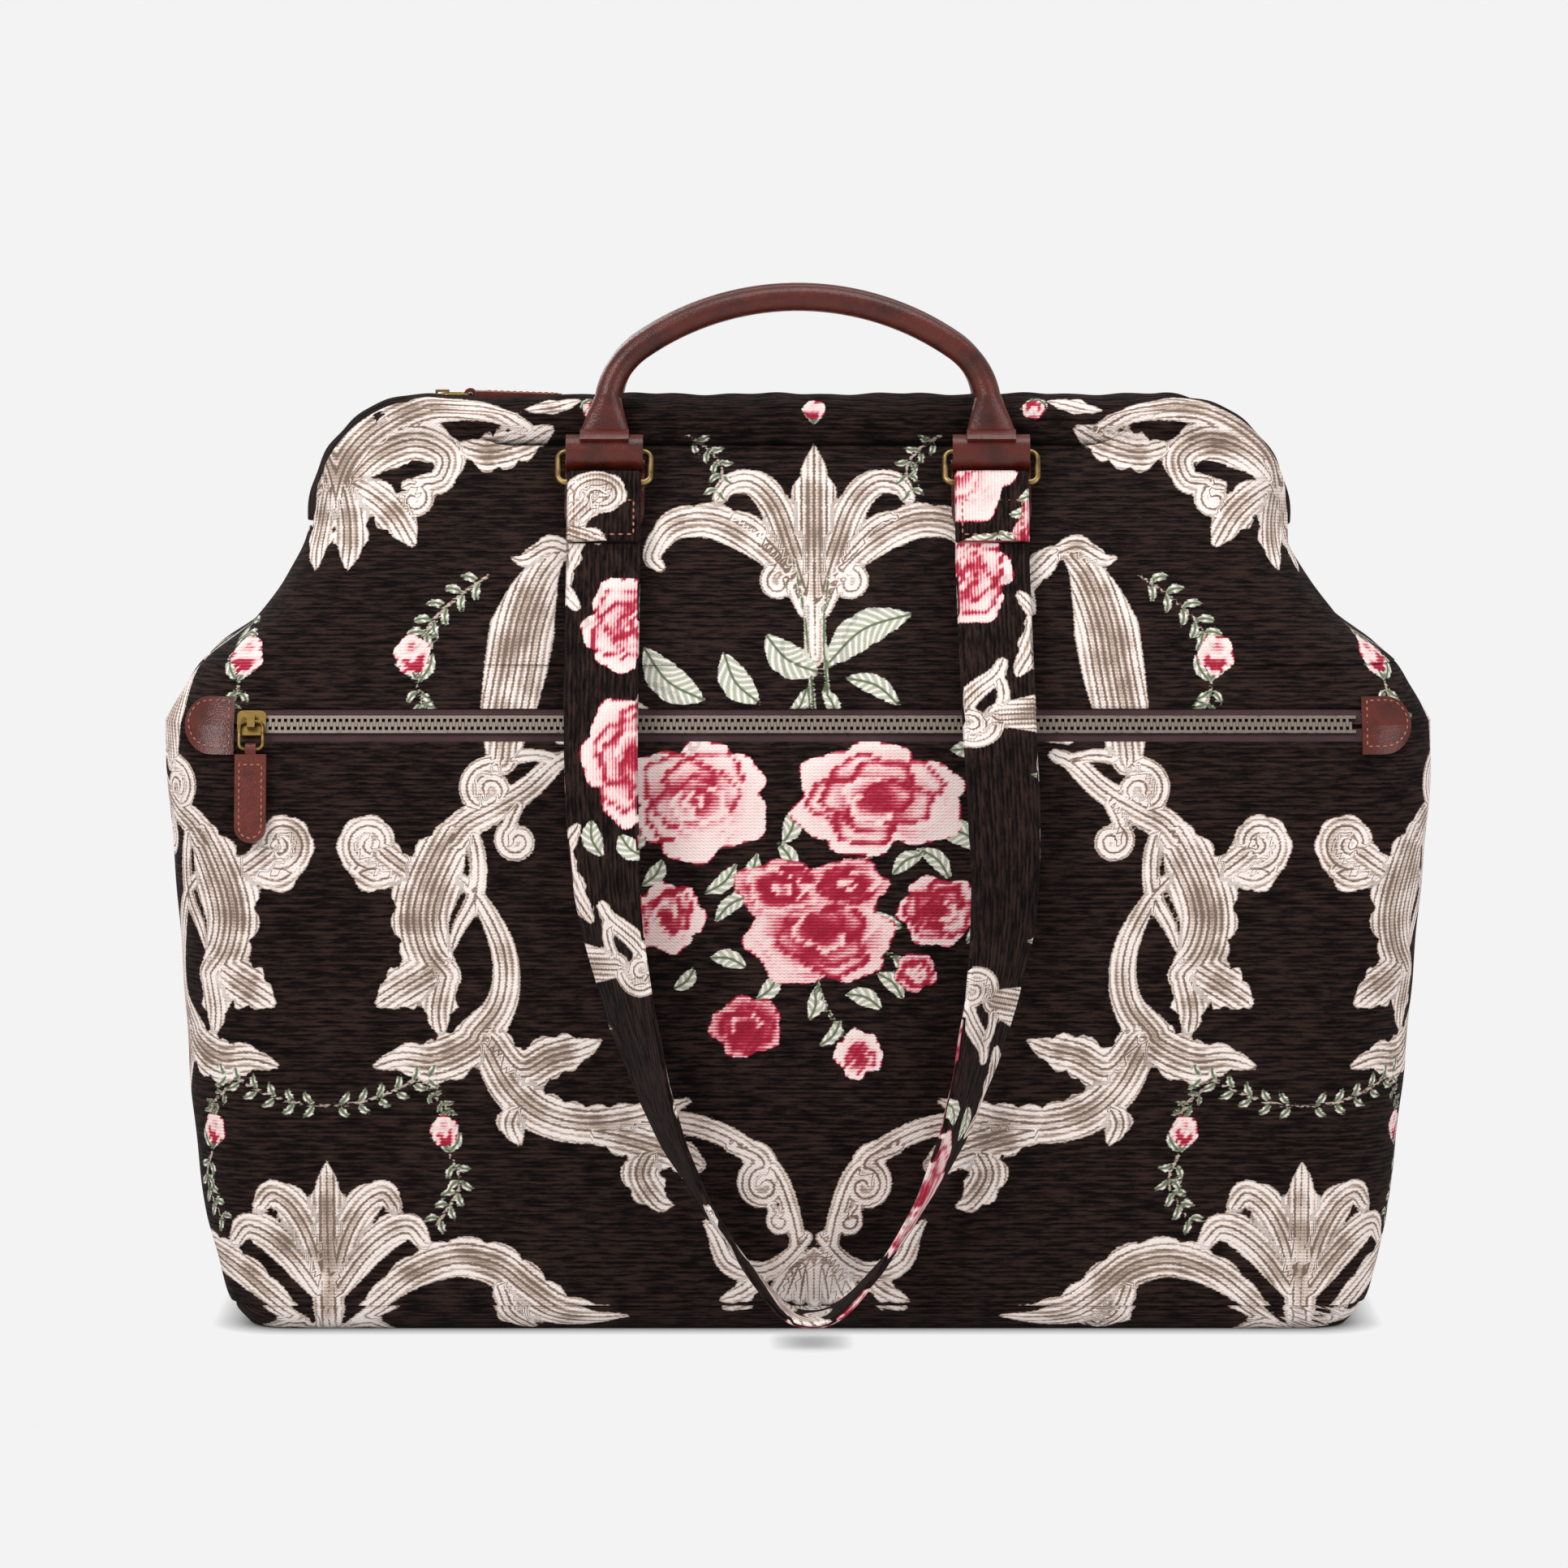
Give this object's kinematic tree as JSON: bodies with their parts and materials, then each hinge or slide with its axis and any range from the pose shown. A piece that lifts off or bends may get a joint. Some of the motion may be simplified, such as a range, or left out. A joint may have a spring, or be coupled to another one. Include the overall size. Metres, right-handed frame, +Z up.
{
  "type": "knitting project bag",
  "caption": "Framed carpet bag with a hinged zip mouth, rolled leather handles, ringed fabric straps and a zipped front pocket.",
  "frame": {"origin": "middle of the flat bottom, on the surface that the bag stands on", "axes": "+X to the right seen from the front, -Y to the front with the zipped pocket, +Z up"},
  "size_m": [0.491, 0.2576, 0.4007],
  "materials": {
    "tapestry": "chenille jacquard",
    "felt": "felted padding",
    "board": "stiffening board",
    "lining_cloth": "plain woven lining",
    "zip_tape": "woven tape",
    "zip_metal": "antique, tarnished",
    "leather": "reddish brown, glossy",
    "steel": "plated hoop",
    "ring_brass": "antique brass",
    "cord": "twisted cotton cord",
    "slider_brass": "polished brass"
  },
  "bodies": {
    "bag": {"front_panel": "tapestry", "rear_panel": "tapestry", "gusset_left": "tapestry", "gusset_right": "tapestry", "bottom_panel": "tapestry", "padding": "felt", "bottom_board": "board", "lining": "lining_cloth", "pocket_bag": "lining_cloth", "zip_tape_upper": "zip_tape", "zip_tape_lower": "zip_tape", "zip_teeth_upper": "zip_metal", "zip_teeth_lower": "zip_metal", "zip_end_tab_left": "leather", "zip_end_tab_right": "leather", "front_upper": "tapestry", "rear_upper": "tapestry"},
    "front_mouth": {"front_frame": "steel", "front_sleeve": "tapestry", "frame_rivet_left": "steel", "frame_rivet_right": "steel", "front_mouth_tape": "zip_tape", "front_mouth_teeth": "zip_metal", "front_anchor_left": "leather", "front_anchor_right": "leather"},
    "rear_mouth": {"rear_frame": "steel", "rear_sleeve": "tapestry", "rear_mouth_tape": "zip_tape", "rear_mouth_teeth": "zip_metal", "rear_anchor_left": "leather", "rear_anchor_right": "leather"},
    "front_handle": {"front_handle": "leather", "front_handle_core": "cord"},
    "front_rings": {"front_ring_left": "ring_brass", "front_ring_right": "ring_brass"},
    "front_strap": {"front_strap": "tapestry"},
    "rear_handle": {"rear_handle": "leather", "rear_handle_core": "cord"},
    "rear_rings": {"rear_ring_left": "ring_brass", "rear_ring_right": "ring_brass"},
    "rear_strap": {"rear_strap": "tapestry"},
    "pocket_slider": {"pocket_slider": "slider_brass"},
    "pocket_pull_ring": {"pocket_pull_ring": "slider_brass"},
    "pocket_pull": {"pocket_pull": "leather"},
    "mouth_slider": {"mouth_slider": "slider_brass"},
    "mouth_pull_ring": {"mouth_pull_ring": "slider_brass"},
    "mouth_pull": {"mouth_pull": "leather"}
  },
  "joints": [
    {"name": "front_mouth_hinge", "type": "hinge", "parent": "bag", "child": "front_mouth", "pos_m": [0, 0, 0.262], "axis": [1, 0, 0], "range_deg": [0, 30], "deforming": ["front_upper"]},
    {"name": "front_handle_swing", "type": "hinge", "parent": "front_mouth", "child": "front_handle", "pos_m": [0, -0.03129, 0.33604], "axis": [1, 0, 0], "range_deg": [0, 80]},
    {"name": "front_ring_swing", "type": "hinge", "parent": "front_mouth", "child": "front_rings", "pos_m": [0, -0.03129, 0.33604], "axis": [1, 0, 0], "range_deg": [-42, 0]},
    {"name": "front_strap_lift", "type": "hinge", "parent": "front_rings", "child": "front_strap", "pos_m": [0, -0.03833, 0.32464], "axis": [1, 0, 0], "range_deg": [-125, 0]},
    {"name": "rear_mouth_hinge", "type": "hinge", "parent": "bag", "child": "rear_mouth", "pos_m": [0, 0, 0.262], "axis": [-1, 0, 0], "range_deg": [0, 30], "deforming": ["rear_upper"]},
    {"name": "rear_handle_swing", "type": "hinge", "parent": "rear_mouth", "child": "rear_handle", "pos_m": [0, 0.03129, 0.33604], "axis": [-1, 0, 0], "range_deg": [0, 80]},
    {"name": "rear_ring_swing", "type": "hinge", "parent": "rear_mouth", "child": "rear_rings", "pos_m": [0, 0.03129, 0.33604], "axis": [-1, 0, 0], "range_deg": [-42, 0]},
    {"name": "rear_strap_lift", "type": "hinge", "parent": "rear_rings", "child": "rear_strap", "pos_m": [0, 0.03833, 0.32464], "axis": [-1, 0, 0], "range_deg": [-125, 0]},
    {"name": "pocket_zip", "type": "slide", "parent": "bag", "child": "pocket_slider", "axis": [1, 0, 0], "range_m": [0, 0.419]},
    {"name": "pocket_ring_flip", "type": "hinge", "parent": "pocket_slider", "child": "pocket_pull_ring", "pos_m": [-0.2097, -0.08264, 0.23527], "axis": [1, 0, 0], "range_deg": [-90, 0]},
    {"name": "pocket_pull_flip", "type": "hinge", "parent": "pocket_pull_ring", "child": "pocket_pull", "pos_m": [-0.2097, -0.08624, 0.22487], "axis": [1, 0, 0], "range_deg": [-60, 0]},
    {"name": "mouth_zip", "type": "slide", "parent": "front_mouth", "child": "mouth_slider", "axis": [1, 0, 0], "range_m": [0, 0.28]},
    {"name": "mouth_ring_flip", "type": "hinge", "parent": "mouth_slider", "child": "mouth_pull_ring", "pos_m": [-0.14, 0, 0.3572], "axis": [0, 1, 0], "range_deg": [-140, 0]},
    {"name": "mouth_pull_flip", "type": "hinge", "parent": "mouth_pull_ring", "child": "mouth_pull", "pos_m": [-0.129, 0, 0.3572], "axis": [0, 1, 0], "range_deg": [-60, 0]}
  ],
  "couplings": [
    {"joint": "front_ring_swing", "follows": "front_mouth_hinge", "ratio": -1.4},
    {"joint": "rear_ring_swing", "follows": "rear_mouth_hinge", "ratio": -1.4}
  ]
}
